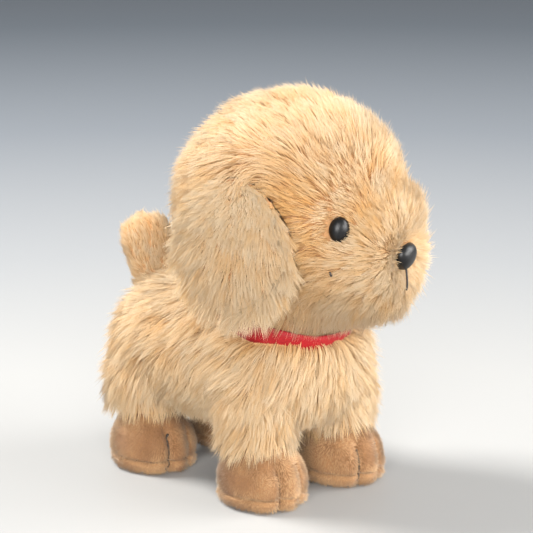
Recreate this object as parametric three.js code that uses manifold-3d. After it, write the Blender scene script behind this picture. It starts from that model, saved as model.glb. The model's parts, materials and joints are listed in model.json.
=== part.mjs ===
// A standing plush puppy, built the way it is sewn: cloth panels around fibre filling, a head that
// turns on the neck seam, ears that lift on their seams, a tail that wags, and four stuffed legs
// with weighted paws. Millimetres, +Z up. The dog faces -Y and its left side is +X.

import * as THREE from 'three';
import { mergeVertices } from 'three/addons/utils/BufferGeometryUtils.js';
import Module from 'manifold-3d';

const wasm = await Module();
wasm.setup();

// ---------------------------------------------------------------- driving dimensions

const CLOTH = 1.3; // thickness of a cloth panel with its pile pressed flat
const GAP = 0.35; // space kept between neighbouring pieces
const THREAD_RADIUS = 0.5;

const BODY = { y: 10, z: 55, halfLength: 56, halfWidth: 35.5, halfHeight: 29, squareness: 2.5 };
const BELLY = { halfWidth: 8, top: 44 };

const NECK = { y: -24, z: 86, tilt: THREE.MathUtils.degToRad(19), radius: 26, depth: 34 };
const COLLAR = { width: 9.5, thickness: 0.9, below: 0.4 };

const HEAD = { y: -29, z: 127, turn: THREE.MathUtils.degToRad(18), length: 46, width: 43, height: 47 };
const MUZZLE = { forward: 57, down: 17, bulge: 10, spread: 0.5 };
const GUSSET_HALF_WIDTH = 13;
const CHIN = { top: -24, back: 5 };

const EYE = { forward: 34, side: 25, down: 1, radius: 5.25, dome: 4.2, lift: 1.8, dimple: 1.2, spread: 0.26 };
const NOSE = { halfWidth: 6.6, halfHeight: 5.8, dome: 4.6, lift: 1.1 };
const SHANK = { radius: 1.8, length: 9 };
const WASHER = { radius: 6, thickness: 1.2, below: 2.4 };

const EAR = { clearance: 2.6, lining: 1.6, outer: 2.2, drop: 80, seamHeight: 17 };

const TAIL = { y: 57, z: 76, lean: THREE.MathUtils.degToRad(22), wag: THREE.MathUtils.degToRad(30) };
const TAIL_PROFILE = [[8.2, -2], [8.5, 0], [10.5, 11], [10.6, 22], [8.4, 29], [4.4, 33]];
const TAIL_TIP = 34.5;

const LEG = {
  x: 24.4,
  hipHeight: 45,
  radius: 14,
  hem: 27.35,
  crown: THREE.MathUtils.degToRad(42),
  swing: THREE.MathUtils.degToRad(12),
};
const PAW_FORWARD = 3; // the paws reach this far in front of the legs they carry
const PAW_LENGTHEN = 1.17;
const PAW_PROFILE = [[13, 0], [15.4, 1.6], [16.5, 6], [16.6, 11], [15.2, 17.5], [12.6, 22.5], [10.3, 27]];
const SOLE_TOP = 6;
const TOE_SPACING = 5.6;

const LEGS = [
  { end: 'front', y: -33, lengthen: 1.0 },
  { end: 'hind', y: 39, lengthen: 1.22 },
];
const SIDES = [
  { name: 'left', sign: 1 },
  { name: 'right', sign: -1 },
];

// ---------------------------------------------------------------- finishes

const finish = (color, roughness, metalness = 0) =>
  new THREE.MeshStandardMaterial({ color, roughness, metalness });

const FINISH = {
  plush: () => finish(0xecc796, 0.95),
  plushShade: () => finish(0xdfb37c, 0.95),
  velour: () => finish(0xc79c68, 0.9),
  sole: () => finish(0xd5b182, 0.9),
  plastic: () => finish(0x0b0b0c, 0.25),
  washer: () => finish(0xe8e6df, 0.5),
  ribbon: () => finish(0xc01526, 0.7),
  thread: () => finish(0x2a2019, 0.8),
  seamThread: () => finish(0xe3c596, 0.8),
  filling: () => finish(0xf6f3ec, 1.0),
  pellets: () => finish(0xd9d6cc, 0.6),
};

// ---------------------------------------------------------------- solids and meshes

// Leaves only positions, joins shared corners and turns the faces outward.
function closed(geometry) {
  geometry.deleteAttribute('normal');
  geometry.deleteAttribute('uv');
  const welded = mergeVertices(geometry, 1e-4);
  const p = welded.getAttribute('position');
  const kept = [];
  let volume = 0;
  const corners = [new THREE.Vector3(), new THREE.Vector3(), new THREE.Vector3()];
  for (let i = 0; i < welded.index.count; i += 3) {
    const [a, b, c] = [0, 1, 2].map((k) => welded.index.getX(i + k));
    if (a === b || b === c || c === a) continue;
    corners.forEach((corner, k) => corner.fromBufferAttribute(p, [a, b, c][k]));
    volume += corners[0].dot(corners[1].cross(corners[2]));
    kept.push(a, b, c);
  }
  if (volume < 0) kept.reverse();
  welded.setIndex(kept);
  return welded;
}

function solid(geometry) {
  const shape = closed(geometry);
  return new wasm.Manifold(
    new wasm.Mesh({
      numProp: 3,
      vertProperties: new Float32Array(shape.getAttribute('position').array),
      triVerts: new Uint32Array(shape.index.array),
    }),
  );
}

function geometryOf(body) {
  const mesh = body.getMesh();
  const geometry = new THREE.BufferGeometry();
  geometry.setAttribute('position', new THREE.BufferAttribute(new Float32Array(mesh.vertProperties), 3));
  geometry.setIndex(new THREE.BufferAttribute(new Uint32Array(mesh.triVerts), 1));
  return geometry;
}

function addPiece(parent, name, shape, material) {
  const geometry = shape instanceof THREE.BufferGeometry ? closed(shape) : geometryOf(shape);
  geometry.computeVertexNormals();
  const mesh = new THREE.Mesh(geometry, material);
  mesh.name = name;
  parent.add(mesh);
  return mesh;
}

function box(x0, x1, y0, y1, z0, z1) {
  const geometry = new THREE.BoxGeometry(x1 - x0, y1 - y0, z1 - z0);
  return geometry.translate((x0 + x1) / 2, (y0 + y1) / 2, (z0 + z1) / 2);
}

// A shape turned about Z from [radius, height] points.
function turned(profile, segments) {
  const points = profile.map(([radius, height]) => new THREE.Vector2(radius, height));
  return new THREE.LatheGeometry(points, segments).rotateX(Math.PI / 2);
}

const inward = (profile, distance) => profile.map(([radius, height]) => [radius - distance, height]);

// A turned wall, open at both ends, of a cloth's thickness.
function turnedWall(profile, segments, thickness = CLOTH) {
  const inner = inward(profile, thickness).reverse();
  return turned([...profile, ...inner, profile[0]], segments);
}

// A turned solid, closed on the axis at both ends.
function turnedSolid(profile, segments) {
  const bottom = profile[0][1];
  const top = profile[profile.length - 1][1];
  return turned([[0, bottom], ...profile, [0, top]], segments);
}

function tube(points, radius, steps) {
  const section = new THREE.Shape().absarc(0, 0, radius, 0, Math.PI * 2, false);
  const path = new THREE.CatmullRomCurve3(points);
  return new THREE.ExtrudeGeometry(section, { steps, curveSegments: 3, extrudePath: path });
}

// ---------------------------------------------------------------- the neck plane

// The head meets the body on one tilted plane, so the head can turn on it.
const neckFrame = new THREE.Matrix4()
  .makeTranslation(0, NECK.y, NECK.z)
  .multiply(new THREE.Matrix4().makeRotationX(NECK.tilt));
const headFrame = new THREE.Matrix4()
  .makeTranslation(0, HEAD.y, HEAD.z)
  .multiply(new THREE.Matrix4().makeRotationZ(HEAD.turn));
const neckInHead = headFrame.clone().invert().multiply(neckFrame);

const FAR = 150;
const belowNeck = (margin, frame) => solid(box(-FAR, FAR, -FAR, FAR, -2 * FAR, -margin).applyMatrix4(frame));
const aboveNeck = (margin, frame) => solid(box(-FAR, FAR, -FAR, FAR, margin, 2 * FAR).applyMatrix4(frame));

// ---------------------------------------------------------------- legs

function legProfile(radius) {
  const { hipHeight, hem } = LEG;
  const shoulder = [radius * Math.cos(LEG.crown), hipHeight + radius * Math.sin(LEG.crown)];
  return [[radius - 0.8, hem], [radius, 34], [radius, hipHeight], shoulder];
}

function toeThread(side) {
  const points = [22, 17, 11.5, 6.5, 2.6].map((height) => {
    const ring = pawRadius(height);
    const reach = Math.sqrt(Math.max(ring * ring - TOE_SPACING * TOE_SPACING, 0));
    const proud = THREAD_RADIUS + GAP + 0.15;
    return new THREE.Vector3(side * TOE_SPACING, -(reach + proud) * PAW_LENGTHEN, height);
  });
  return tube(points, THREAD_RADIUS, 5);
}

function pawRadius(height) {
  const upper = PAW_PROFILE.findIndex(([, z]) => z >= height);
  const [r1, z1] = PAW_PROFILE[upper];
  const [r0, z0] = PAW_PROFILE[Math.max(upper - 1, 0)];
  return z1 === z0 ? r1 : r0 + ((r1 - r0) * (height - z0)) / (z1 - z0);
}

function addLeg(dog, { end, y, lengthen }, { name: side, sign }) {
  const name = `${end}_${side}`;
  const leg = new THREE.Group();
  leg.position.set(sign * LEG.x, y, 0);
  dog.add(leg);
  const along = (geometry) => geometry.scale(1, lengthen, 1);
  addPiece(leg, `leg_sleeve_${name}`, along(turnedWall(legProfile(LEG.radius), 12)), FINISH.plush());
  const filling = legProfile(LEG.radius - CLOTH - GAP);
  addPiece(leg, `leg_stuffing_${name}`, along(turnedSolid(filling, 12)), FINISH.filling());

  const paw = new THREE.Group();
  paw.position.set(0, -PAW_FORWARD, 0);
  leg.add(paw);
  const longer = (geometry) => geometry.scale(1, PAW_LENGTHEN, 1);
  const seamRadius = pawRadius(SOLE_TOP + GAP);
  const upper = [[seamRadius, SOLE_TOP + GAP], ...PAW_PROFILE.filter(([, z]) => z > SOLE_TOP)];
  addPiece(paw, `paw_upper_${name}`, longer(turnedWall(upper, 14)), FINISH.velour());

  const cup = PAW_PROFILE.filter(([, z]) => z <= SOLE_TOP);
  const lining = [[cup[2][0] - CLOTH, SOLE_TOP], [cup[1][0] - CLOTH, CLOTH + 0.8], [cup[0][0] - CLOTH, CLOTH]];
  const sole = [[0, 0], ...cup, ...lining, [0, CLOTH]];
  addPiece(paw, `paw_sole_${name}`, longer(turned(sole, 14)), FINISH.sole());

  const weight = inward(PAW_PROFILE, CLOTH + 1.5 * GAP);
  weight[0][1] = CLOTH + GAP;
  weight[1][1] = CLOTH + GAP + 1.4;
  weight[weight.length - 1][1] -= GAP;
  addPiece(paw, `paw_pellets_${name}`, longer(turnedSolid(weight, 14)), FINISH.pellets());

  addPiece(paw, `toe_thread_${name}_outer`, toeThread(sign), FINISH.thread());
  addPiece(paw, `toe_thread_${name}_inner`, toeThread(-sign), FINISH.thread());
}

// The hollow that a leg's top sits and swings in, as an outline seen from the side.
function legPocket({ y, lengthen }, sign) {
  const room = 1.5;
  const reach = LEG.radius * lengthen + room;
  const depth = 60;
  const outline = new THREE.Shape();
  outline.moveTo(reach * Math.cos(LEG.swing) + depth * Math.sin(LEG.swing), -depth);
  const steps = 7;
  for (let i = 0; i <= steps; i++) {
    const angle = -LEG.swing + ((Math.PI + 2 * LEG.swing) * i) / steps;
    const outside = 1 / Math.cos((Math.PI + 2 * LEG.swing) / steps / 2);
    outline.lineTo(reach * outside * Math.cos(angle), reach * outside * Math.sin(angle));
  }
  outline.lineTo(-reach * Math.cos(LEG.swing) - depth * Math.sin(LEG.swing), -depth);
  const width = 2 * (LEG.radius + room) + 20;
  const prism = new THREE.ExtrudeGeometry(outline, { depth: width, bevelEnabled: false });
  prism.applyMatrix4(new THREE.Matrix4().makeBasis(
    new THREE.Vector3(0, 1, 0), new THREE.Vector3(0, 0, 1), new THREE.Vector3(1, 0, 0)));
  const inner = LEG.x - LEG.radius - room;
  prism.translate(sign > 0 ? inner : -inner - width, y, LEG.hipHeight);
  return solid(prism);
}

// ---------------------------------------------------------------- tail

const tailFrame = new THREE.Matrix4()
  .makeTranslation(0, TAIL.y, TAIL.z)
  .multiply(new THREE.Matrix4().makeRotationX(-TAIL.lean));

function tailFilling(grow, segments) {
  const wall = TAIL_PROFILE.map(([radius, height]) => [radius + grow, height]);
  return turned([[0, -7 - grow], [6.6 + grow, -6.2], ...wall, [0, TAIL_TIP + grow]], segments);
}

// The hollow that the tail's root needs while it wags.
function tailPocket() {
  const steps = 4;
  let pocket = null;
  for (let i = 0; i <= steps; i++) {
    const angle = TAIL.wag * (-1 + (2 * i) / steps);
    const sway = new THREE.Matrix4().makeRotationY(angle);
    const swept = solid(tailFilling(0.7, 10).applyMatrix4(tailFrame.clone().multiply(sway)));
    pocket = pocket ? pocket.add(swept) : swept;
  }
  return pocket;
}

function addTail(dog) {
  const tail = new THREE.Group();
  tail.applyMatrix4(tailFrame);
  dog.add(tail);
  const inner = inward(TAIL_PROFILE, CLOTH).reverse();
  const cover = turned([...TAIL_PROFILE, [0, TAIL_TIP], [0, TAIL_TIP - CLOTH], ...inner, TAIL_PROFILE[0]], 14);
  addPiece(tail, 'tail_cover', cover, FINISH.plush());
  addPiece(tail, 'tail_stuffing', tailFilling(-CLOTH - GAP, 12), FINISH.filling());
}

// ---------------------------------------------------------------- body

// How full the body is at a point along it, from 0 at its ends to 1 in the middle.
function plumpness(t) {
  const { squareness } = BODY;
  return Math.max(1 - Math.abs(t) ** squareness, 0) ** (1 / squareness);
}

const bellyHeight = (y) => BODY.z - BODY.halfHeight * plumpness((y - BODY.y) / BODY.halfLength);

// A stuffed body: a sphere with its poles at chest and rump, drawn out and squared off.
function bodyShape(inset) {
  const shape = new THREE.SphereGeometry(1, 20, 14);
  const p = shape.getAttribute('position');
  for (let i = 0; i < p.count; i++) {
    const along = p.getY(i);
    const ring = Math.hypot(p.getX(i), p.getZ(i)) || 1;
    const t = Math.sign(along) * Math.sin((Math.abs(along) * Math.PI) / 2);
    const plump = plumpness(t);
    p.setXYZ(
      i,
      (p.getX(i) / ring) * plump * (BODY.halfWidth - inset),
      t * (BODY.halfLength - inset) + BODY.y,
      (p.getZ(i) / ring) * plump * (BODY.halfHeight - inset) + BODY.z,
    );
  }
  return shape;
}

function neckStump(inset, top) {
  const { radius, depth } = NECK;
  return solid(turnedSolid([[radius - inset, -depth], [radius - inset, top]], 22).applyMatrix4(neckFrame));
}

function addBody(dog) {
  const pockets = LEGS.flatMap((pair) => SIDES.map(({ sign }) => legPocket(pair, sign)));
  const open = (body) => pockets.reduce((left, pocket) => left.subtract(pocket), body.subtract(tailPocket()));

  const outside = solid(bodyShape(0)).add(neckStump(0, -GAP));
  const inside = solid(bodyShape(CLOTH)).add(neckStump(CLOTH, 4));
  const wall = open(outside.intersect(belowNeck(GAP, neckFrame)).subtract(inside));

  const { halfWidth, top } = BELLY;
  addPiece(dog, 'belly_panel', wall.intersect(solid(box(-halfWidth, halfWidth, -FAR, FAR, 0, top))),
    FINISH.plushShade());
  const sides = wall.subtract(solid(box(-halfWidth - GAP, halfWidth + GAP, -FAR, FAR, 0, top + GAP)));
  SIDES.forEach(({ name, sign }) => {
    const [x0, x1] = sign > 0 ? [GAP / 2, FAR] : [-FAR, -GAP / 2];
    addPiece(dog, `body_side_${name}`, sides.intersect(solid(box(x0, x1, -FAR, FAR, 0, FAR))), FINISH.plush());
  });

  const filling = solid(bodyShape(CLOTH + GAP)).add(neckStump(CLOTH + GAP, -GAP));
  addPiece(dog, 'body_stuffing', open(filling.intersect(belowNeck(2 * GAP, neckFrame))), FINISH.filling());

  const seam = [-8, 0, 8, 16, 24].map((y) => new THREE.Vector3(0, y, bellyHeight(y) - THREAD_RADIUS - GAP));
  addPiece(dog, 'closing_thread', tube(seam, THREAD_RADIUS, 6), FINISH.seamThread());

  const { width, thickness, below } = COLLAR;
  const ribbon = [[NECK.radius + GAP + thickness, -below - width], [NECK.radius + GAP + thickness, -below]];
  addPiece(dog, 'collar_ribbon', turnedWall(ribbon, 32, thickness).applyMatrix4(neckFrame), FINISH.ribbon());
}

// ---------------------------------------------------------------- head

const muzzleAim = new THREE.Vector3(0, -MUZZLE.forward, -MUZZLE.down).normalize();
const eyeAim = (sign) => new THREE.Vector3(sign * EYE.side, -EYE.forward, -EYE.down).normalize();

const swell = (direction, aim, spread) => Math.exp(-((direction.angleTo(aim) / spread) ** 2));

// Distance from the head's centre to its covering along a direction.
function headRadius(direction) {
  const { length, width, height } = HEAD;
  const round = 1 / Math.hypot(direction.y / length, direction.x / width, direction.z / height);
  const dimples = SIDES.reduce((sum, { sign }) => sum + swell(direction, eyeAim(sign), EYE.spread), 0);
  return round + MUZZLE.bulge * swell(direction, muzzleAim, MUZZLE.spread) - EYE.dimple * dimples;
}

function headShape(inset) {
  const shape = new THREE.SphereGeometry(1, 22, 16);
  const p = shape.getAttribute('position');
  const direction = new THREE.Vector3();
  for (let i = 0; i < p.count; i++) {
    direction.fromBufferAttribute(p, i).normalize();
    const radius = headRadius(direction) - inset;
    p.setXYZ(i, direction.x * radius, direction.y * radius, direction.z * radius);
  }
  return solid(shape);
}

// A frame on the head's covering: +Z points out along the direction, -Y hangs down.
function faceFrame(direction, lift) {
  const z = direction.clone();
  const x = new THREE.Vector3(0, 0, 1).cross(z).normalize();
  const y = z.clone().cross(x);
  const origin = direction.clone().multiplyScalar(headRadius(direction) + lift);
  return new THREE.Matrix4().makeBasis(x, y, z).setPosition(origin);
}

// A moulded button: a dome on a flat back, with a shank that goes through the cloth.
function button(halfWidth, halfHeight, dome) {
  const rise = [0.0, 0.25, 0.55, 0.85].map((t) => [Math.sqrt(1 - t * t), dome * t + 0.6]);
  const face = [[SHANK.radius, 0], [1, 0], ...rise];
  const scaled = face.map(([radius, height], i) => [i === 0 ? radius : radius * halfWidth, height]);
  const profile = [[0, -SHANK.length], [SHANK.radius, -SHANK.length], ...scaled, [0, dome + 0.6]];
  return turned(profile, 14).scale(1, halfHeight / halfWidth, 1);
}

function washer() {
  const hole = SHANK.radius + GAP;
  const { radius, thickness } = WASHER;
  return turned([[hole, -thickness], [radius, -thickness], [radius, 0], [hole, 0], [hole, -thickness]], 12);
}

function addHead(dog) {
  const head = new THREE.Group();
  head.applyMatrix4(headFrame);
  dog.add(head);

  const buttons = [
    ...SIDES.map(({ name, sign }) => ({
      name: `eye_${name}`,
      washer: `eye_washer_${name}`,
      aim: eyeAim(sign),
      lift: EYE.lift,
      shape: () => button(EYE.radius, EYE.radius * 1.06, EYE.dome),
    })),
    {
      name: 'nose',
      washer: 'nose_washer',
      aim: muzzleAim,
      lift: NOSE.lift,
      shape: () => button(NOSE.halfWidth, NOSE.halfHeight, NOSE.dome),
    },
  ];

  const shankRoom = (radius, start, end, aim) =>
    solid(turnedSolid([[radius, start], [radius, end]], 12).applyMatrix4(faceFrame(aim, 0)));
  const pierce = (body, radius, start, end) =>
    buttons.reduce((left, { aim }) => left.subtract(shankRoom(radius, start, end, aim)), body);

  const wall = pierce(
    headShape(0).intersect(aboveNeck(GAP, neckInHead)).subtract(headShape(CLOTH)),
    SHANK.radius + GAP, -CLOTH - 4, 4);

  const strip = (margin) => solid(box(-GUSSET_HALF_WIDTH - margin, GUSSET_HALF_WIDTH + margin, -FAR, FAR, -FAR, FAR));
  const chin = (margin) => solid(box(-FAR, FAR, -FAR, CHIN.back - margin, -FAR, CHIN.top - margin));
  const middle = wall.intersect(strip(0));
  addPiece(head, 'head_gusset', middle.subtract(chin(-GAP)), FINISH.plushShade());
  addPiece(head, 'chin_panel', middle.intersect(chin(0)), FINISH.plush());
  const cheeks = wall.subtract(strip(GAP));
  SIDES.forEach(({ name, sign }) => {
    const [x0, x1] = sign > 0 ? [0, FAR] : [-FAR, 0];
    addPiece(head, `head_side_${name}`, cheeks.intersect(solid(box(x0, x1, -FAR, FAR, -FAR, FAR))), FINISH.plush());
  });

  const hollow = CLOTH + GAP + 1;
  addPiece(head, 'head_stuffing',
    pierce(headShape(hollow - 0.6).intersect(aboveNeck(2 * GAP, neckInHead)), WASHER.radius + GAP, -SHANK.length - 2, 3),
    FINISH.filling());

  buttons.forEach(({ name, washer: washerName, aim, lift, shape }) => {
    const seat = faceFrame(aim, lift);
    addPiece(head, name, shape().applyMatrix4(seat), FINISH.plastic());
    addPiece(head, washerName, washer().applyMatrix4(faceFrame(aim, -CLOTH - WASHER.below)), FINISH.washer());
  });

  const stitch = [24, 26.5, 29, 31.5].map((down) => {
    const direction = new THREE.Vector3(0, -MUZZLE.forward, -down).normalize();
    return direction.multiplyScalar(headRadius(direction) + THREAD_RADIUS + 0.6);
  });
  addPiece(head, 'mouth_stitch', tube(stitch, THREAD_RADIUS, 5), FINISH.thread());

  SIDES.forEach((side) => addEar(head, side));
}

// ---------------------------------------------------------------- ears

// A shell that stands off the side of the head and hangs straighter than it.
function earBarrel(clearance) {
  const shape = new THREE.SphereGeometry(1, 20, 12);
  return solid(shape.scale(HEAD.width + clearance, HEAD.length + clearance + 1, EAR.drop));
}

function earOutline(sign) {
  const { seamHeight } = EAR;
  const outline = new THREE.Shape();
  outline.moveTo(-20, seamHeight);
  outline.lineTo(11, seamHeight);
  const edge = [[25, 3], [29, -18], [20, -39], [0, -47], [-20, -42], [-32, -22], [-31, 2]];
  outline.splineThru(edge.map(([forward, up]) => new THREE.Vector2(forward, up)));
  const prism = new THREE.ExtrudeGeometry(outline, { depth: 70, bevelEnabled: false, curveSegments: 3 });
  // Outline x runs forward (-Y), outline y runs up, and the depth runs out to the side.
  prism.applyMatrix4(new THREE.Matrix4().makeBasis(
    new THREE.Vector3(0, -1, 0), new THREE.Vector3(0, 0, 1), new THREE.Vector3(1, 0, 0)));
  return solid(sign > 0 ? prism : prism.translate(-70, 0, 0));
}

function addEar(head, { name, sign }) {
  const inner = EAR.clearance;
  const middle = inner + EAR.lining;
  const outer = middle + GAP + EAR.outer;
  const cut = earOutline(sign);
  const lining = earBarrel(middle).subtract(earBarrel(inner)).intersect(cut);
  const outside = earBarrel(outer).subtract(earBarrel(middle + GAP)).intersect(cut);
  addPiece(head, `ear_lining_${name}`, lining, FINISH.plushShade());
  addPiece(head, `ear_outer_${name}`, outside, FINISH.plush());
}

// ---------------------------------------------------------------- assembly

const dog = new THREE.Group();
addBody(dog);
addTail(dog);
LEGS.forEach((pair) => SIDES.forEach((side) => addLeg(dog, pair, side)));
addHead(dog);

// The origin is on the floor, under the middle of the dog's box.
const bounds = new THREE.Box3().setFromObject(dog, true);
const middle = bounds.getCenter(new THREE.Vector3());
dog.position.set(-middle.x, -middle.y, -bounds.min.z);

export default dog;
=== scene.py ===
# %% [markdown]
# # A standing plush puppy
# The toy is cloth panels around soft filling. Most of what anyone sees is pile: long fibres that
# stand out of the cloth and lie over each other. So this lesson makes a smooth stuffed skin for
# each part first, and then grows the pile on it as real fibre-shaped meshes, because particle
# hair is lost when a model is exported.
#
# The engineering model is loaded first. Its joints and boxes say where each part belongs.

# %% Load the engineering model
import json
import math

import bmesh
import bpy
import numpy as np
from mathutils import Matrix, Vector
from mathutils.kdtree import KDTree


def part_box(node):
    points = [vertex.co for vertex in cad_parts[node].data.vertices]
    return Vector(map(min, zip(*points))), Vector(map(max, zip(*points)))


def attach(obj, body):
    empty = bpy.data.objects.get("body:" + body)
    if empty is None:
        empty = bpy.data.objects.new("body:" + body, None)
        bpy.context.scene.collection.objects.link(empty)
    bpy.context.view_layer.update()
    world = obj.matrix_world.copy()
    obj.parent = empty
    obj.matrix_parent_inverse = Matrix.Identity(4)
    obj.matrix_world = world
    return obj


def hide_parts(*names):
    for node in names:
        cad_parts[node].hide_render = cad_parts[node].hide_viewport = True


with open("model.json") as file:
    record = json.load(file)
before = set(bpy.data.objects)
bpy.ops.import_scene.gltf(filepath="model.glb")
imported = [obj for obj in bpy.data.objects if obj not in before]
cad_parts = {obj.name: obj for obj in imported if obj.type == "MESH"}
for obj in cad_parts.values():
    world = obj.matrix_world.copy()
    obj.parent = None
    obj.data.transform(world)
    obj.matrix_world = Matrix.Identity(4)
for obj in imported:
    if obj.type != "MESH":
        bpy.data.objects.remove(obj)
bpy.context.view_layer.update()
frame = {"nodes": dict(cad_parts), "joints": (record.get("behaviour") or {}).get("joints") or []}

MM = 0.001

# %% [markdown]
# ## Where things are
# The joints give the neck, the hips and the tail's root. The head has a frame of its own, because
# it is turned to one side: in it, x is the dog's left, -y is straight ahead and z is up.

# %% Joints, boxes and the head's frame
joints = {joint["name"]: joint for joint in frame["joints"]}
joint_at = {name: Vector(joint["pos_m"]) for name, joint in joints.items()}
SIDES = {"left": 1, "right": -1}
LEG_NAMES = [f"{end}_{side}" for end in ("front", "hind") for side in SIDES]


def middle(node):
    low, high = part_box(node)
    return (Vector(low) + Vector(high)) / 2


HEAD_FROM_NECK = Vector((0, -5, 41)) * MM
NECK_TO_MIDDLE = 24 * MM  # from the neck back to midway between the front and the hind paws
neck = joint_at["head_turn"]
neck_axis = Vector(joints["head_turn"]["axis"])
head_centre = neck + HEAD_FROM_NECK
across = middle("eye_left") - middle("eye_right")
head_turn = math.atan2(across.y, across.x)
head_frame = Matrix.Translation(head_centre) @ Matrix.Rotation(head_turn, 4, "Z")
dog_y = neck.y + NECK_TO_MIDDLE
print("head centre", tuple(round(v / MM, 1) for v in head_centre))
print("head turned", round(math.degrees(head_turn), 1), "degrees")

# %% [markdown]
# ## Camera, light and floor
# A long lens from in front of the dog's right shoulder keeps the toy's proportions true. One soft
# light high behind the toy, on the camera's left, rims the fur and throws the shadow forward, and
# broad weaker lights fill the shaded side. The floor is a wide sheet whose colour is painted darker
# with distance, as painted shade where the light falls off.

# %% Camera
SENSOR = 36.0
VIEW_AZIMUTH = math.radians(-44)
VIEW_ELEVATION = math.radians(13.5)
VIEW_DISTANCE = 1.0
VIEW_WIDTH = 0.23985
view_target = Vector((13.6 * MM, dog_y, 92.5 * MM))


def direction(azimuth, elevation):
    return Vector((
        math.sin(azimuth) * math.cos(elevation),
        -math.cos(azimuth) * math.cos(elevation),
        math.sin(elevation),
    ))


def aimed(position, target):
    turn = (position - target).to_track_quat("Z", "Y")
    return Matrix.Translation(position) @ turn.to_matrix().to_4x4()


camera_data = bpy.data.cameras.new("camera")
camera_data.sensor_width = SENSOR
camera_data.lens = SENSOR * VIEW_DISTANCE / VIEW_WIDTH
camera = bpy.data.objects.new("camera", camera_data)
view_from = view_target + VIEW_DISTANCE * direction(VIEW_AZIMUTH, VIEW_ELEVATION)
camera.matrix_world = aimed(view_from, view_target)
bpy.context.scene.collection.objects.link(camera)
bpy.context.scene.camera = camera
print("lens", round(camera_data.lens, 1), "mm")


# %% Lights
def area_light(name, toward, distance, size, watts, colour):
    """A round light that faces the toy, set off from it by a distance in metres."""
    data = bpy.data.lights.new(name, "AREA")
    data.shape = "DISK"
    data.size = size
    data.energy = watts
    data.color = colour
    light = bpy.data.objects.new(name, data)
    light.matrix_world = aimed(view_target + distance * Vector(toward).normalized(), view_target)
    bpy.context.scene.collection.objects.link(light)


area_light("key_light", (-0.30, 0.55, 0.85), 2.2, 0.84, 108.0, (1.0, 0.98, 0.95))
area_light("front_fill", (-0.75, -0.75, 0.45), 2.4, 1.9, 66.0, (1.0, 0.985, 0.97))
area_light("low_fill", (0.45, -1.0, 0.10), 2.0, 1.5, 70.0, (1.0, 0.985, 0.96))
area_light("chin_fill", (-0.8, -0.75, 0.06), 1.5, 0.9, 20.0, (1.0, 0.985, 0.96))
area_light("side_fill", (0.9, -0.6, 0.5), 2.2, 1.4, 58.0, (1.0, 0.99, 0.97))
world = bpy.data.worlds.new("studio")
bpy.context.scene.world = world
world.use_nodes = True
world.node_tree.nodes["Background"].inputs["Color"].default_value = (0.97, 0.98, 1.0, 1)
world.node_tree.nodes["Background"].inputs["Strength"].default_value = 0.62
bpy.context.scene.view_settings.view_transform = "Standard"

# %% [markdown]
# ## Writing shader maths as expressions
# A procedural finish is mostly arithmetic on noise. Wrapping a socket in a small class lets that
# arithmetic be written as ordinary expressions, each of which adds its Math node.


# %% Expressions on sockets
class Value:
    def __init__(self, finish, socket):
        self.finish, self.socket = finish, socket

    def maths(self, operation, first, second):
        return self.finish.add("ShaderNodeMath", {"operation": operation}, {0: first, 1: second})

    def __add__(self, other): return self.maths("ADD", self, other)
    def __radd__(self, other): return self.maths("ADD", other, self)
    def __sub__(self, other): return self.maths("SUBTRACT", self, other)
    def __rsub__(self, other): return self.maths("SUBTRACT", other, self)
    def __mul__(self, other): return self.maths("MULTIPLY", self, other)
    def __rmul__(self, other): return self.maths("MULTIPLY", other, self)


class Finish:
    """A material whose nodes are added by add(type, settings, sockets)."""

    def __init__(self, name, **constants):
        self.material = bpy.data.materials.new(name)
        self.material.use_nodes = True
        self.tree = self.material.node_tree
        self.shader = self.tree.nodes["Principled BSDF"]
        for socket, value in constants.items():
            self.shader.inputs[socket.replace("_", " ")].default_value = value

    def add(self, kind, settings, sockets, output=0):
        node = self.tree.nodes.new(kind)
        for key, value in settings.items():
            if key == "stops":
                ramp = node.color_ramp
                while len(ramp.elements) < len(value):
                    ramp.elements.new(0.5)
                for element, (position, colour) in zip(ramp.elements, value):
                    element.position = position
                    element.color = (*colour, 1)
            else:
                setattr(node, key, value)
        for socket, value in sockets.items():
            if isinstance(value, Value):
                self.tree.links.new(value.socket, node.inputs[socket])
            else:
                node.inputs[socket].default_value = value
        return Value(self, node.outputs[output])

    def drive(self, socket, value):
        self.tree.links.new(value.socket, self.shader.inputs[socket])

    def place(self):
        return self.add("ShaderNodeTexCoord", {}, {}, "Object")

    def read(self, attribute):
        return self.add("ShaderNodeAttribute", {"attribute_name": attribute}, {}, "Fac")

    def noise(self, scale, detail=3.0, stretch=(1, 1, 1)):
        place = self.add("ShaderNodeMapping", {}, {"Vector": self.place(), "Scale": stretch})
        sockets = {"Vector": place, "Scale": scale, "Detail": detail}
        return self.add("ShaderNodeTexNoise", {}, sockets, "Fac")

    def ramp(self, factor, stops):
        return self.add("ShaderNodeValToRGB", {"stops": stops}, {"Fac": factor})

    def colour(self, factor, *stops):
        """Colours the surface by stops of (position, (red, green, blue)) on the 0 to 255 scale."""
        self.drive("Base Color", self.ramp(factor, [(place, rgb(*shade)) for place, shade in stops]))

    def blend(self, factor, first, second, mode="MIX"):
        return self.add("ShaderNodeMix", {"data_type": "RGBA", "blend_type": mode},
                        {0: factor, 6: first, 7: second}, 2)

    def let_through(self, colour, share):
        """Lets a share of the light pass through, as thin fibres do."""
        through = self.add("ShaderNodeBsdfTranslucent", {}, {"Color": colour})
        front = Value(self, self.shader.outputs[0])
        mixed = self.add("ShaderNodeMixShader", {}, {0: share, 1: front, 2: through})
        self.tree.links.new(mixed.socket, self.tree.nodes["Material Output"].inputs["Surface"])

    def bump(self, height, distance, strength=1.0):
        sockets = {"Height": height, "Distance": distance, "Strength": strength}
        return self.add("ShaderNodeBump", {}, sockets)


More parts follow.
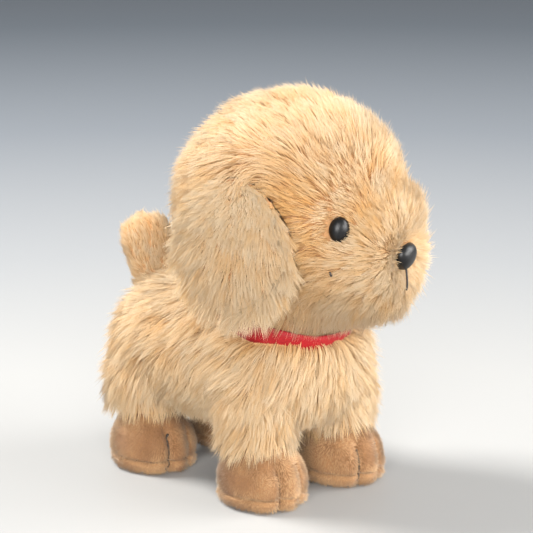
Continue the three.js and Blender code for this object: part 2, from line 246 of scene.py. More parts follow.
def rgb(red, green, blue):
    """A colour on the 0 to 255 scale, made linear."""
    def linear(v):
        v /= 255
        return v / 12.92 if v <= 0.04045 else ((v + 0.055) / 1.055) ** 2.4
    return tuple(linear(v) for v in (red, green, blue))


print("finish helpers ready")

# %% Floor
FLOOR_SIZE = 9.0
FLOOR_FADE = 2.0  # metres from the middle to where the floor is darkest
floor_finish = Finish("pale_floor", Roughness=0.55)
away = floor_finish.add("ShaderNodeVectorMath", {"operation": "LENGTH"}, {0: floor_finish.place()}, "Value")
# Painted shade: the floor's colour darkens and turns blue-grey with distance from the middle, where the
# light falls off.
floor_finish.colour(
    away * (1 / FLOOR_FADE), (0.0, (147, 147, 146)), (0.10, (143, 143, 142)), (0.22, (128, 130, 132)),
    (0.45, (100, 105, 111)), (0.8, (62, 70, 78)), (1.0, (54, 61, 69)))
floor_mesh = bmesh.new()
bmesh.ops.create_grid(floor_mesh, x_segments=1, y_segments=1, size=FLOOR_SIZE / 2)
floor_data = bpy.data.meshes.new("floor")
floor_mesh.to_mesh(floor_data)
floor_mesh.free()
floor_data.materials.append(floor_finish.material)
floor = bpy.data.objects.new("floor", floor_data)
bpy.context.scene.collection.objects.link(floor)
print("floor", FLOOR_SIZE, "m square")

# %% [markdown]
# ## Skins
# Under the pile, each stuffed part is a smooth, full form. The body is several egg shapes melted
# into one: a voxel remesh does that better than booleans, because it leaves one even surface. The
# head is a ball pulled out at the muzzle, and its surface is a formula, so the eyes and the nose
# can be seated exactly on it.


# %% Helpers for making a piece
def as_piece(bm, name, material):
    mesh = bpy.data.meshes.new(name)
    bmesh.ops.recalc_face_normals(bm, faces=bm.faces)
    bm.to_mesh(mesh)
    bm.free()
    mesh.shade_smooth()
    mesh.materials.append(material)
    made = bpy.data.objects.new(name, mesh)
    bpy.context.scene.collection.objects.link(made)
    return made


def applied(made):
    """Turns a piece's modifiers into plain mesh."""
    graph = bpy.context.evaluated_depsgraph_get()
    graph.update()
    mesh = bpy.data.meshes.new_from_object(made.evaluated_get(graph))
    old = made.data
    made.modifiers.clear()
    made.data = mesh
    name = made.name
    bpy.data.meshes.remove(old)
    mesh.name = name
    mesh.shade_smooth()
    return made


def points_of(mesh):
    flat = np.zeros(len(mesh.vertices) * 3)
    mesh.vertices.foreach_get("co", flat)
    return flat.reshape(-1, 3)


def reshape(bm, shape):
    """Moves every point of a bmesh by a function on an array of points."""
    points = np.array([v.co[:] for v in bm.verts])
    for vertex, place in zip(bm.verts, shape(points)):
        vertex.co = place


def unit(vectors):
    return vectors / np.maximum(np.linalg.norm(vectors, axis=-1, keepdims=True), 1e-12)


def placed(points, matrix):
    m = np.array(matrix)
    return points @ m[:3, :3].T + m[:3, 3]


print("piece helpers ready")

# %% Plain finishes of the hidden cloth
backing = Finish("pile_backing", Roughness=0.95)
# Partly the cloth's own tan and partly painted shade: the backing is darker so that gaps between the fibres
# read as shade deep in the pile.
backing.colour(backing.noise(420), (0.35, (160, 118, 78)), (0.65, (186, 142, 98)))

# %% The body's skin
SKIN_VOXEL = 2.0 * MM
SKIN_ROUNDS = 16  # of smoothing
BODY_EGGS = [  # middle (from midway between the paws) and half sizes, in mm
    ((0, 12, 57), (33, 52, 26)),
    ((0, -22, 59), (32, 26, 30)),
    ((0, -31, 58), (30, 25, 23)),
    ((0, 36, 56), (32, 27, 28)),
    ((0, -30, 68), (32, 25, 16)),
    ((0, -26, 82), (27, 27, 20)),
]
for side in SIDES.values():
    BODY_EGGS.append(((20 * side, -30, 49), (16, 18, 21)))
    BODY_EGGS.append(((19.5 * side, 37, 47), (15, 21, 21)))


def eggs(shapes, panels, name, material):
    """One smooth skin around egg shapes and around the hull of some panels of the model."""
    bm = bmesh.new()
    for panel in panels:
        source = frame["nodes"][panel]
        for point in points_of(source.data):
            bm.verts.new(source.matrix_world @ Vector(point))
    hull = bmesh.ops.convex_hull(bm, input=bm.verts)
    inner = {v for v in hull["geom_interior"] if isinstance(v, bmesh.types.BMVert)}
    bmesh.ops.delete(bm, geom=list(inner), context="VERTS")
    for centre, radii in shapes:
        place = Matrix.Translation(Vector(centre) * MM + Vector((0, dog_y, 0)))
        bmesh.ops.create_icosphere(bm, subdivisions=4, radius=1.0,
                                   matrix=place @ Matrix.Diagonal((*(r * MM for r in radii), 1)))
    made = as_piece(bm, name, material)
    remesh = made.modifiers.new("melt", "REMESH")
    remesh.mode = "VOXEL"
    remesh.voxel_size = SKIN_VOXEL
    soften = made.modifiers.new("soften", "SMOOTH")
    soften.factor = 0.5
    soften.iterations = SKIN_ROUNDS
    return applied(made)


BODY_PANELS = ("body_side_left", "body_side_right", "belly_panel")
body_skin = eggs(BODY_EGGS, BODY_PANELS, "body_cover", backing.material)
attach(body_skin, "torso")
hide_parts("body_side_left", "body_side_right", "belly_panel")
print("body skin:", len(body_skin.data.vertices), "points")

# %% [markdown]
# A sewn skin with filling in it bulges where nothing holds it back. Blender's cloth can do that:
# a little pressure inside, no gravity and twenty frames. No point may move further than a set
# travel, so the skin keeps its size.

# %% Stuffing the body
STUFFING_PRESSURE = 4.0
STUFFING_FRAMES = 20
STUFFING_VOXEL = 4.0 * MM
STUFFING_TRAVEL = 1.6 * MM


def stuffed(made):
    """Swells a closed skin under pressure, moving no point further than the set travel."""
    even = made.modifiers.new("even", "REMESH")
    even.mode = "VOXEL"
    even.voxel_size = STUFFING_VOXEL
    applied(made)
    start = points_of(made.data)
    cloth = made.modifiers.new("swell", "CLOTH")
    cloth.settings.use_pressure = True
    cloth.settings.uniform_pressure_force = STUFFING_PRESSURE
    cloth.settings.effector_weights.gravity = 0
    cloth.point_cache.frame_end = STUFFING_FRAMES
    scene = bpy.context.scene
    for number in range(1, STUFFING_FRAMES + 1):
        scene.frame_set(number)
    end = points_of(made.evaluated_get(bpy.context.evaluated_depsgraph_get()).data)
    scene.frame_set(1)
    made.modifiers.clear()
    moved = end - start
    far = np.linalg.norm(moved, axis=1, keepdims=True)
    end = start + moved * np.minimum(1, STUFFING_TRAVEL / np.maximum(far, 1e-9))
    made.data.vertices.foreach_set("co", end.astype(np.float32).ravel())
    made.data.update()
    finer = made.modifiers.new("finer", "SUBSURF")
    finer.levels = finer.render_levels = 1
    applied(made)
    most = float(np.minimum(far, STUFFING_TRAVEL).max())
    print(made.name, "swelled by up to", round(most / MM, 2), "mm")


stuffed(body_skin)

# %% The head's skin
HEAD_HALF = np.array([42.4, 45.4, 46.4]) * MM  # half width, length and height of the skull part
MUZZLE_AIM = unit(np.array([0, -57.0, -17.0]))
head_inverse = head_frame.inverted()
eye_aims = [unit(np.array(head_inverse @ middle(f"eye_{name}"))) for name in SIDES]


SWELLINGS = [  # height in mm, aim, spread in radians, and flatness of the top
    (11.2, MUZZLE_AIM, 0.53, 3.4),
    (3.0, (0, -0.8, 0.6), 0.42, 2),  # the brow
    (5.0, (0, -0.78, -0.62), 0.36, 2),  # the chin
    (-1.8, (0, -0.988, 0.156), 0.15, 2),  # the dip above the nose
]
for side, aim in zip(SIDES.values(), eye_aims):
    SWELLINGS.append((-1.2, aim, 0.26, 2))
    SWELLINGS.append((5.0, (0.42 * side, -0.75, -0.42), 0.30, 2))  # a jowl


def swell(directions, aim, spread, flatness=2):
    """1 along an aim, falling to 0 around it. A flatter top has steeper sides."""
    angle = np.arccos(np.clip(directions @ unit(np.array(aim)), -1, 1))
    return np.exp(-(angle / spread) ** flatness)


def full_radius(directions):
    radius = 1 / np.linalg.norm(directions / HEAD_HALF, axis=-1)
    for height, aim, spread, flatness in SWELLINGS:
        radius += height * MM * swell(directions, aim, spread, flatness)
    return radius


NOSE_DISTANCE = 53.6 * MM  # from the head's middle to the skin under the nose
NOSE_DENT_SPREAD = 0.19
nose_dent = full_radius(MUZZLE_AIM[None])[0] - NOSE_DISTANCE


def head_radius(directions):
    """How far the head's skin is from the head's middle, along each direction."""
    return full_radius(directions) - nose_dent * swell(directions, MUZZLE_AIM, NOSE_DENT_SPREAD)


def head_shape(points):
    directions = unit(points)
    return placed(directions * head_radius(directions)[:, None], head_frame)


bm = bmesh.new()
bmesh.ops.create_icosphere(bm, subdivisions=5, radius=1.0)
reshape(bm, head_shape)
head_skin = as_piece(bm, "head_cover", backing.material)
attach(head_skin, "head")
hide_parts("head_gusset", "head_side_left", "head_side_right", "chin_panel")
print("head skin:", len(head_skin.data.vertices), "points")

# %% [markdown]
# ## Ears
# Each ear is a soft flap sewn along its top edge. It hangs straighter than the side of the head,
# so it stands a little off the cheek. A ball is flattened into a lens, its rim is given the flap's
# outline, and the lens is bent over a barrel that clears the skull.

# %% The ear flaps
EAR_CENTRE = (-3.0, -10.0)  # forward of and above the head's middle, in mm
EAR_HALF = (27.0, 29.0)
EAR_THICKNESS = 2.2
BARREL = (46.2, 49.5)  # half width and half length of the form that the flap is bent over
BARREL_TOP, BARREL_BELOW = 38.0, 80.0  # its half heights: it closes in on the skull above the ear's middle


def ear_shape(points, side):
    flat = unit(points)
    forward, up, out = flat[:, 0], flat[:, 1], flat[:, 2]
    reach = np.hypot(forward, up)
    fullness = reach ** 0.5  # moves points toward the rim, so the flap is even in thickness
    angle = np.arctan2(up, forward)
    shoulder = 1 - 0.10 * np.maximum(np.sin(angle), 0) ** 2
    a = EAR_CENTRE[0] + EAR_HALF[0] * shoulder * fullness * np.cos(angle)
    c = EAR_CENTRE[1] + EAR_HALF[1] * fullness * np.sin(angle)
    bend = c / np.where(c > 0, BARREL_TOP, BARREL_BELOW)
    b = BARREL[0] * np.sqrt(np.maximum(1 - (a / BARREL[1]) ** 2 - bend ** 2, 0.05))
    b += EAR_THICKNESS * (1.0 + np.sign(out) * np.abs(out) ** 0.7)
    return placed(np.stack([side * b, -a, c], axis=1) * MM, head_frame)


ear_skins = {}
for name, side in SIDES.items():
    bm = bmesh.new()
    bmesh.ops.create_icosphere(bm, subdivisions=4, radius=1.0)
    reshape(bm, lambda points, side=side: ear_shape(points, side))
    ear_skins[name] = as_piece(bm, f"ear_flap_{name}", backing.material)
    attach(ear_skins[name], f"ear_{name}")
    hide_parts(f"ear_outer_{name}", f"ear_lining_{name}")
print("ear flaps:", list(ear_skins))

# %% [markdown]
# ## Legs and tail
# A leg's plush sleeve and the tail are turned forms, so a profile is spun about an axis.


# %% Spinning a profile
def spun(profile, steps, stretch=(1, 1), ring=False):
    """A form turned about z from (radius, height) pairs: a chain that ends on the axis, or a ring."""
    bm = bmesh.new()
    chain = [bm.verts.new((radius, 0, height)) for radius, height in profile]
    pairs = list(zip(chain, chain[1:])) + ([(chain[-1], chain[0])] if ring else [])
    edges = [bm.edges.new(pair) for pair in pairs]
    bmesh.ops.spin(bm, geom=chain + edges, cent=(0, 0, 0), axis=(0, 0, 1), angle=2 * math.pi,
                   steps=steps, use_merge=True)
    bmesh.ops.remove_doubles(bm, verts=bm.verts, dist=1e-6)
    bmesh.ops.scale(bm, vec=(stretch[0], stretch[1], 1), verts=bm.verts)
    return bm


def smooth_profile(points, steps):
    """A rounded chain through a few (radius, height) points."""
    points = np.array(points, float)
    t = np.linspace(0, len(points) - 1, steps)
    i = np.clip(t.astype(int), 0, len(points) - 2)
    f = (t - i)[:, None]
    before, after = points[np.maximum(i - 1, 0)], points[np.minimum(i + 2, len(points) - 1)]
    a, b = points[i], points[i + 1]
    curve = 0.5 * (2 * a + (b - before) * f + (2 * before - 5 * a + 4 * b - after) * f ** 2
                   + (3 * a - before - 3 * b + after) * f ** 3)
    curve[:, 0] = np.maximum(curve[:, 0], 0)
    curve[0, 0] = curve[-1, 0] = 0
    return [(radius * MM, height * MM) for radius, height in curve]


LEG_PROFILE = [(0, 25), (9.5, 25), (12.6, 28), (13.2, 36), (13.0, 45), (9.5, 54), (0, 58)]
LEG_DEPTH = {"front": 1.0, "hind": 1.2}  # how deep a leg is beside its width
leg_skins = {}
for name in LEG_NAMES:
    hip = joint_at[f"leg_{name}_swing"]
    bm = spun(smooth_profile(LEG_PROFILE, 25), 32, (1.0, LEG_DEPTH[name.split("_")[0]]))
    bmesh.ops.translate(bm, vec=(hip.x, hip.y, 0), verts=bm.verts)
    leg_skins[name] = as_piece(bm, f"leg_cover_{name}", backing.material)
    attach(leg_skins[name], f"leg_{name}")
    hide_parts(f"leg_sleeve_{name}")
print("leg skins:", list(leg_skins))

# %% The tail's skin
TAIL_PROFILE = [(0, -7), (7, -5), (8.3, 0), (10.2, 11), (10.3, 22), (8.0, 29.5), (0, 33.5)]
tail_root = joint_at["tail_wag"]
tail_lean = math.atan2(-joints["tail_wag"]["axis"][2], joints["tail_wag"]["axis"][1])
tail_frame = Matrix.Translation(tail_root) @ Matrix.Rotation(-tail_lean, 4, "X")
bm = spun(smooth_profile(TAIL_PROFILE, 29), 32)
bmesh.ops.transform(bm, matrix=tail_frame, verts=bm.verts)
tail_skin = as_piece(bm, "tail_sleeve", backing.material)
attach(tail_skin, "tail")
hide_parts("tail_cover")
print("tail leans back", round(math.degrees(tail_lean), 1), "degrees")

# %% [markdown]
# ## The pile
# A fibre is a tapered three-sided rod of ten faces, bent once. Fibres never stand alone: neighbours
# cling into small locks, and wider patches are brushed the same way. So each fibre follows three
# things: the way its region is combed, the turn of its patch, and the pull of its lock. Roots are
# deep tan and tips are cream, partly the fibres' own colour and partly painted shade deep in the
# pile, which is what gives long plush its depth. So each fibre carries how far along it a point is,
# and a tone, for the finish to read: a tone of its own, with painted shade added on the face.

# %% The finish of the pile
pile = Finish("long_pile", Roughness=0.55, Sheen_Weight=0.2, Sheen_Roughness=0.45,
              Sheen_Tint=(1.0, 0.92, 0.78, 1), Specular_IOR_Level=0.3)
# Darker toward the root: partly the fibres' own tan, partly painted shade deep in the pile.
fibre_colour = pile.ramp(pile.read("along"), [
    (0.0, rgb(202, 160, 110)), (0.35, rgb(223, 191, 147)),
    (0.7, rgb(233, 211, 175)), (1.0, rgb(238, 223, 195))])
fibre_colour = pile.blend(pile.read("tone"), fibre_colour, (*rgb(249, 218, 170), 1), "MULTIPLY")
pile.drive("Base Color", fibre_colour)
pile.let_through((*rgb(222, 190, 146), 1), 0.5)


# %% One fibre
def rod(cuts, taper):
    """A three-sided rod along z whose rings, from root to tip, are as wide as taper says."""
    bm = bmesh.new()
    bmesh.ops.create_cone(bm, cap_ends=True, cap_tris=False, segments=3, radius1=1, radius2=1, depth=1)
    upright = [e for e in bm.edges if abs(e.verts[0].co.z - e.verts[1].co.z) > 0.5]
    if cuts:
        bmesh.ops.subdivide_edges(bm, edges=upright, cuts=cuts)
    bmesh.ops.pointmerge(bm, verts=[v for v in bm.verts if v.co.z > 0.49], merge_co=(0, 0, 0.5))
    bmesh.ops.triangulate(bm, faces=bm.faces)
    bmesh.ops.recalc_face_normals(bm, faces=bm.faces)
    bm.verts.index_update()
    points = np.array([v.co[:] for v in bm.verts])
    triangles = np.array([[v.index for v in f.verts] for f in bm.faces])
    bm.free()
    ring = np.rint((points[:, 2] + 0.5) * (cuts + 1)).astype(int)
    return {"across": points[:, :2], "triangles": triangles, "ring": ring, "taper": np.array(taper)[ring]}


FIBRE = rod(1, (1.0, 0.84, 0.0))
BRISTLE = rod(0, (1.0, 0.0))
print("a fibre has", len(FIBRE["triangles"]), "faces, a bristle", len(BRISTLE["triangles"]))


# %% Roots on a skin
def roots_on(skin, count, where, rng):
    """Evenly scattered points on a skin, with its normals, weighted by where(points, normals)."""
    mesh = skin.data
    mesh.calc_loop_triangles()
    corners = np.zeros(len(mesh.loop_triangles) * 3, int)
    mesh.loop_triangles.foreach_get("vertices", corners)
    corners = corners.reshape(-1, 3)
    points = points_of(mesh)
    normals = np.zeros(len(mesh.vertices) * 3)
    mesh.vertex_normals.foreach_get("vector", normals)
    normals = normals.reshape(-1, 3)
    a, b, c = (points[corners[:, k]] for k in range(3))
    area = np.linalg.norm(np.cross(b - a, c - a), axis=1) / 2
    weight = area * where((a + b + c) / 3, unit(normals[corners].mean(axis=1)))
    chosen = np.searchsorted(np.cumsum(weight), rng.random(count) * weight.sum())
    u, v = rng.random((2, count))
    flip = u + v > 1
    u[flip], v[flip] = 1 - u[flip], 1 - v[flip]
    share = np.stack([1 - u - v, u, v], axis=1)[:, :, None]
    held = corners[chosen]
    return (points[held] * share).sum(axis=1), unit((normals[held] * share).sum(axis=1))


def nearest(targets, points):
    tree = KDTree(len(targets))
    for i, target in enumerate(targets):
        tree.insert(target, i)
    tree.balance()
    return np.array([tree.find(p)[1] for p in points])


def patchy(points, spacing, rng):
    """A smooth random number of about -1 to 1 at each point, changing over about one spacing."""
    low, high = points.min(axis=0) - spacing, points.max(axis=0) + spacing
    cells = np.maximum(((high - low) / spacing).astype(int) + 2, 2)
    grid = rng.uniform(-1, 1, cells)
    place = (points - low) / spacing
    base = np.minimum(place.astype(int), cells - 2)
    part = place - base
    part = part * part * (3 - 2 * part)
    total = np.zeros(len(points))
    for corner in np.ndindex(2, 2, 2):
        share = np.prod(np.where(corner, part, 1 - part), axis=1)
        total += share * grid[tuple((base + corner).T)]
    return total * 1.4


def turned_about(vectors, axes, angles):
    c, s = np.cos(angles)[:, None], np.sin(angles)[:, None]
    return vectors * c + np.cross(axes, vectors) * s


print("root helpers ready")


# %% Growing a pile
ROOT_DEPTH = 0.4 * MM
LOCKS = ((9, 0.75), (70, 1.0))  # how many fibres share a lock, and how much locks of its kind differ


def grow(name, skin, body, count, comb, length, rise=(50, 20), where=None, cling=0.32, sweep=0.2,
         width=0.15, stray=0.08, turn=22, raised=None, shade=None, seed=1):
    """Grows fibres on a skin.

    comb(points) is the way the fibres are brushed, length(points) how long they are, and rise the
    angles in degrees between skin and fibre in its lower and upper half. Small locks cling by
    cling and wide ones by sweep. raised(points) adds to the rise, and shade(points) darkens the
    colour as painted shade. Where fibres are short there are more of them.
    """
    rng = np.random.default_rng(seed)
    wanted = where or (lambda p, n: np.ones(len(p)))
    root, normal = roots_on(skin, count, lambda p, n: wanted(p, n) * (10 * MM / length(p)) ** 0.8, rng)
    flow = comb(root)
    flow = unit(flow - (flow * normal).sum(axis=1, keepdims=True) * normal)
    flow = turned_about(flow, normal, np.radians(turn) * patchy(root, 11 * MM, rng))

    lift = 6 * patchy(root, 9 * MM, rng) + rng.normal(0, 5, count)
    if raised:
        lift += raised(root)
    shift = rng.normal(0, 0.25 * turn, count)
    reach = length(root) * rng.uniform(0.84, 1.08, count)
    tone = 0.16 * rng.normal(0, 1, count)
    locks = []
    for size, variety in LOCKS:
        leaders = rng.choice(count, max(count // size, 1), replace=False)
        member = nearest(root[leaders], root)
        locks.append(leaders[member])
        shift += rng.normal(0, 0.3 * turn * variety, len(leaders))[member]
        lift += rng.normal(0, 3.0 * variety, len(leaders))[member]
        reach *= rng.uniform(1 - 0.14 * variety, 1 + 0.06 * variety, len(leaders))[member]
        tone += 0.14 * variety * rng.normal(0, 1, len(leaders))[member]
    loose = rng.random(count) < stray
    lift += np.where(loose, rng.uniform(6, 24, count), 0)
    flow = turned_about(flow, normal, np.radians(shift))

    line = [root - ROOT_DEPTH * normal]
    for step_rise in rise:
        angle = np.radians(step_rise + lift)[:, None]
        step = np.cos(angle) * flow + np.sin(angle) * normal
        line.append(line[-1] + step * (reach / len(rise))[:, None])
    line = np.stack(line, axis=1)
    for leader, strength in zip(locks, (cling, sweep)):
        pull = np.array([0, 0.5, 1.0])[None, :, None] * (
            strength * rng.uniform(0.5, 1.2, count) * ~loose)[:, None, None]
        line = line + pull * (line[leader] - line)
    # The tone adds painted shade from shade(points) to the random tones of the fibres and locks.
    tone = 0.22 + tone + (shade(root) if shade else 0)
    return fibres(name, line, width * MM * rng.uniform(0.75, 1.2, count), body, np.clip(tone, 0, 1), normal)


def fibres(name, line, radius, body, tone, normal, template=FIBRE, finish=pile):
    """Copies a rod along each line, as one mesh."""
    count, ring = len(line), template["ring"]
    heading = unit(line[:, -1] - line[:, 0])
    side = unit(np.cross(heading, normal) + 1e-6)
    across = np.stack([side, np.cross(heading, side)], axis=1)
    around = np.einsum("pk,nkc->npc", template["across"], across)
    points = line[:, ring] + around * (radius[:, None] * template["taper"])[:, :, None]
    triangles = template["triangles"][None] + (np.arange(count) * len(ring))[:, None, None]
    mesh = bpy.data.meshes.new(name)
    mesh.vertices.add(count * len(ring))
    mesh.vertices.foreach_set("co", points.astype(np.float32).ravel())
    mesh.loops.add(triangles.size)
    mesh.loops.foreach_set("vertex_index", triangles.astype(np.int32).ravel())
    mesh.polygons.add(triangles.size // 3)
    mesh.polygons.foreach_set("loop_start", np.arange(0, triangles.size, 3, dtype=np.int32))
    mesh.update(calc_edges=True)
    mesh.shade_smooth()
    soft = unit(0.65 * normal[:, None] + 0.35 * around)
    mesh.normals_split_custom_set_from_vertices(soft.reshape(-1, 3).tolist())
    values = {"along": np.tile(ring / ring.max(), (count, 1)), "tone": np.repeat(tone, len(ring))}
    for key, value in values.items():
        attribute = mesh.attributes.new(key, "FLOAT", "POINT")
        attribute.data.foreach_set("value", value.astype(np.float32).ravel())
    mesh.materials.append(finish.material)
    made = bpy.data.objects.new(name, mesh)
    bpy.context.scene.collection.objects.link(made)
    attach(made, body)
    print(name, count, "fibres,", triangles.size // 3, "faces")
    return made


print("growing is ready")

# %% [markdown]
# ## Which way the pile is combed
# The maker brushes the face outward from the nose, the back of the head and the body backward and
# down, and the ears down from where they are sewn on.


# %% Comb directions
def smooth_step(value, low, high):
    t = np.clip((value - low) / (high - low), 0, 1)
    return t * t * (3 - 2 * t)


head_turn_only = np.array(head_frame.to_3x3())


def in_head(points):
    return placed(points, head_inverse)


def from_head(vectors):
    return vectors @ head_turn_only.T


WHORL = MUZZLE_AIM * (NOSE_DISTANCE + 3 * MM)  # the pile of the face parts here, at the nose


def below_chin(local):
    """0 on the face, rising to 1 under the chin."""
    return smooth_step(-local[:, 2], 26 * MM, 38 * MM)


def comb_head(points):
    local = in_head(points)
    away_from_nose = unit(local - WHORL)
    down = np.array([0, 0.35, -1.0])
    beside = smooth_step(np.abs(local[:, 0]), 26 * MM, 40 * MM) * smooth_step(local[:, 1], -22 * MM, -4 * MM)
    behind = np.maximum(smooth_step(local[:, 1], -8 * MM, 26 * MM), 0.8 * beside)[:, None]
    behind = np.maximum(behind, 0.75 * below_chin(local)[:, None])
    return from_head(away_from_nose * (1 - behind) + down * behind)


def comb_body(points):
    side = np.sign(points[:, :1]) * np.minimum(np.abs(points[:, :1]) / (20 * MM), 1)
    return np.concatenate([0.35 * side, np.full_like(side, 0.45), np.full_like(side, -1.0)], axis=1)


def comb_down(points):
    return np.tile([0.0, 0.0, -1.0], (len(points), 1))


EAR_FAN = np.array([0, 1.0, 20.0]) * MM  # the place on the ear's top edge that its pile fans from


def comb_ear(points):
    fan = in_head(points) - EAR_FAN
    fan[:, 0] = 0
    return from_head(unit(fan))


print("combing ready")

# %% [markdown]
# ## Growing it, part by part
# The hidden faces of the toy get fewer fibres. Length falls toward the nose and the eyes, so that
# the face stays open.


# %% The head's pile
nose_seat = MUZZLE_AIM * head_radius(MUZZLE_AIM[None])[0]
eye_seats = [aim * head_radius(aim[None])[0] for aim in eye_aims]
INNER_CORNER = (15, -44, 1)  # where an eye's inner corner meets the muzzle, in mm
# Painted shade: darker spots of pile colour in the hollows and creases of the face.
FACE_SHADES = (  # middle, spread in mm and strength of each deeper spot
    (INNER_CORNER, 8, 0.9), ((0, -46, 7), 7, 0.35), ((38, -22, -8), 19, 0.6), ((36, -20, 14), 10, 0.7))


def gap_to(local, seat):
    return np.linalg.norm(local - seat, axis=1) / MM


def on_side(place, side):
    return np.array([place[0] * side, *place[1:]]) * MM


def length_head(points):
    local = in_head(points)
    length = 10.0 + 2.5 * smooth_step(gap_to(local, nose_seat), 20, 55)
    length -= 4.5 * (1 - smooth_step(gap_to(local, nose_seat), 6, 17))
    length += 4.0 * below_chin(local)
    by_nose = 1 - smooth_step(gap_to(local, nose_seat), 22, 34)
    length += 4.0 * smooth_step(local[:, 0] / MM, 4, 16) * by_nose
    length -= 1.5 * smooth_step(local[:, 2] / MM, 15, 40)
    length += 4.5 * over_ear(local)
    for seat in eye_seats:
        length -= 5.0 * (1 - smooth_step(gap_to(local, seat), 4, 13))
    for side in SIDES.values():
        length -= 4.0 * (1 - smooth_step(gap_to(local, on_side(INNER_CORNER, side)), 2, 8))
    return np.maximum(length, 3.0) * MM


def over_ear(local):
    """1 along the line where an ear is sewn on, fading to 0 around it."""
    above = (local[:, 2] / MM - 24) / 7
    along_seam = (local[:, 1] / MM - 4) / 24
    return smooth_step(np.abs(local[:, 0]) / MM, 24, 31) * np.exp(-above ** 2 - along_seam ** 2)


def raised_head(points):
    """The chin and the brow stand up, and the muzzle and the top of the head lie down."""
    local = in_head(points)
    near_nose = 1 - smooth_step(gap_to(local, nose_seat), 18, 36)
    chin = smooth_step(-local[:, 2] / MM, 14, 34) * smooth_step(-local[:, 1] / MM, 4, 20)
    brow = np.exp(-(gap_to(local, np.array([0, -36, 24]) * MM) / 18) ** 2)
    top = smooth_step(local[:, 2] / MM, 26, 42)
    return (9 * chin * (1 - near_nose) - 17 * near_nose + 8 * brow - 8 * top
            + 8 * over_ear(local) + 28 * below_chin(local))


def shade_head(points):
    """Painted shade: a darker colour in the hollows by the eyes and in front of the ears."""
    local = in_head(points)
    shade = np.zeros(len(points))
    for side in SIDES.values():
        for place, wide, amount in FACE_SHADES:
            shade += amount * np.exp(-(gap_to(local, on_side(place, side)) / wide) ** 2)
    return shade


def clear_of_trim(local):
    """0 where an eye, the nose or the mouth's stitch sits, and 1 elsewhere."""
    free = (gap_to(local, nose_seat) > 5.0).astype(float)
    for seat in eye_seats:
        free *= gap_to(local, seat) > 4.7
    under_nose = (local[:, 2] < -20 * MM) & (local[:, 2] > -33 * MM) & (local[:, 1] < -30 * MM)
    return free * ~(under_nose & (np.abs(local[:, 0]) < 0.45 * MM))


MUZZLE_REACH = 24  # mm from the nose to where the muzzle's pile ends
FACE_BACK = -12 * MM
THROAT_TOP = -30 * MM


def muzzle_part(points, normals):
    local = in_head(points)
    return clear_of_trim(local) * (gap_to(local, nose_seat) < MUZZLE_REACH)


def face_part(points, normals):
    local = in_head(points)
    return clear_of_trim(local) * (gap_to(local, nose_seat) >= MUZZLE_REACH) * (local[:, 1] < FACE_BACK)


def crown_part(points, normals):
    local = in_head(points)
    under_ear = (np.abs(local[:, 0]) > 34 * MM) & (local[:, 2] < 4 * MM) & (np.abs(local[:, 1]) < 22 * MM)
    return (local[:, 1] >= FACE_BACK) * (local[:, 2] > THROAT_TOP) * np.where(under_ear, 0.2, 1.0)


def throat_part(points, normals):
    local = in_head(points)
    return (local[:, 1] >= FACE_BACK) * (local[:, 2] <= THROAT_TOP)


HEAD_RISE = (56, 34)
HEAD_PARTS = (("muzzle", muzzle_part, 11000, 18, 16), ("face", face_part, 19000, 22, 14),
              ("crown", crown_part, 19500, 30, 15), ("throat", throat_part, 5000, 22, 16))
for part, where, count, turn, seed in HEAD_PARTS:
    grow(f"head_pile_{part}", head_skin, "head", count, comb_head, length_head, rise=HEAD_RISE,
         where=where, raised=raised_head, shade=shade_head, turn=turn, cling=0.25, seed=seed)


# %% The ears' pile
def length_ear(points):
    local = in_head(points)
    return (10 + 7 * smooth_step(-local[:, 2] / MM, -12, 16)) * MM


for number, (name, side) in enumerate(SIDES.items()):
    def outer(points, normals, side=side):
        outward = in_head(points + normals)[:, 0] - in_head(points)[:, 0]
        top = 1 + 2.6 * smooth_step(in_head(points)[:, 2] / MM, -8, 12)
        return np.where(outward * side > -0.2, 1.0, 0.1) * top
    grow(f"ear_pile_{name}", ear_skins[name], f"ear_{name}", 18000, comb_ear, length_ear, rise=(50, 26),
         where=outer, turn=24, cling=0.42, stray=0.12, width=0.175, seed=21 + number)

# %% The body's pile
BAND_LOW = -9.8 * MM  # the ribbon's strip round the neck, where no pile grows
BAND_REACH = 32.6 * MM


def body_where(low, high):
    """Says where fibres grow between two places along the body, in mm from its middle."""
    def where(points, normals):
        y = points[:, 1] - dog_y
        from_neck = points - np.array(neck)
        height = from_neck @ np.array(neck_axis)
        from_axis = np.linalg.norm(from_neck - height[:, None] * np.array(neck_axis), axis=1)
        on_band = (height > BAND_LOW) & (from_axis < BAND_REACH)
        return (y >= low * MM) * (y < high * MM) * ~on_band
    return where


def length_body(points):
    """Shorter under the belly, so that the legs can swing below it."""
    return (10 + 5 * smooth_step(points[:, 2] / MM, 30, 44)) * MM


BODY_PARTS = (("chest", -90, -12, 19000, (48, 20), 33), ("flanks", -12, 28, 12500, (48, 20), 36),
              ("rump", 28, 90, 18500, (40, 14), 37))
for part, low, high, count, rise, seed in BODY_PARTS:
    grow(f"body_pile_{part}", body_skin, "torso", count, comb_body, length_body,
         rise=rise, where=body_where(low, high), seed=seed)

